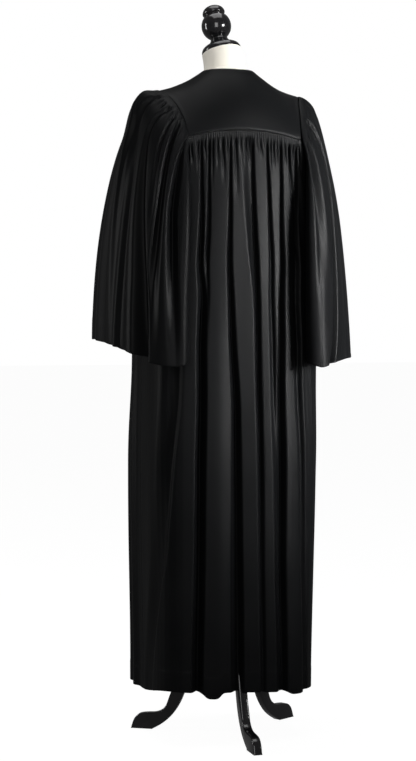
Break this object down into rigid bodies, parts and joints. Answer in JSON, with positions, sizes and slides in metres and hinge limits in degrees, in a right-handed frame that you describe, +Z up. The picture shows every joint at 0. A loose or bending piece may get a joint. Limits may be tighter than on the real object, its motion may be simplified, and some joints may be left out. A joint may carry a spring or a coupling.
{
  "type": "judge robe on a limbless dress form with a tripod stand",
  "caption": "Long open-cuffed gown with shirred yokes, full gathered back and bell sleeves, worn by a limbless dress form with a turned finial and tripod legs.",
  "frame": {"origin": "on the floor, under the middle of the whole part's box", "axes": "+Z up along the stand's post; the wearer faces -Y; +X is the wearer's left"},
  "size_m": [0.5871, 0.3997, 1.5952],
  "materials": {
    "robe_cloth": "black wool-look twill with a soft satin lustre",
    "form_jersey": "cream stretch jersey",
    "black_lacquer": "gloss black lacquer"
  },
  "bodies": {
    "root": {"yoke_back": "robe_cloth", "yoke_front_left": "robe_cloth", "yoke_front_right": "robe_cloth", "back_panel": "robe_cloth", "front_panel_left": "robe_cloth", "front_panel_right": "robe_cloth", "front_placket": "robe_cloth", "sleeve_left": "robe_cloth", "sleeve_right": "robe_cloth", "form_torso": "form_jersey", "neck_cap": "black_lacquer", "finial": "black_lacquer", "form_base": "black_lacquer", "post": "black_lacquer", "hub": "black_lacquer", "leg_1": "black_lacquer", "leg_2": "black_lacquer", "leg_3": "black_lacquer"}
  },
  "joints": []
}
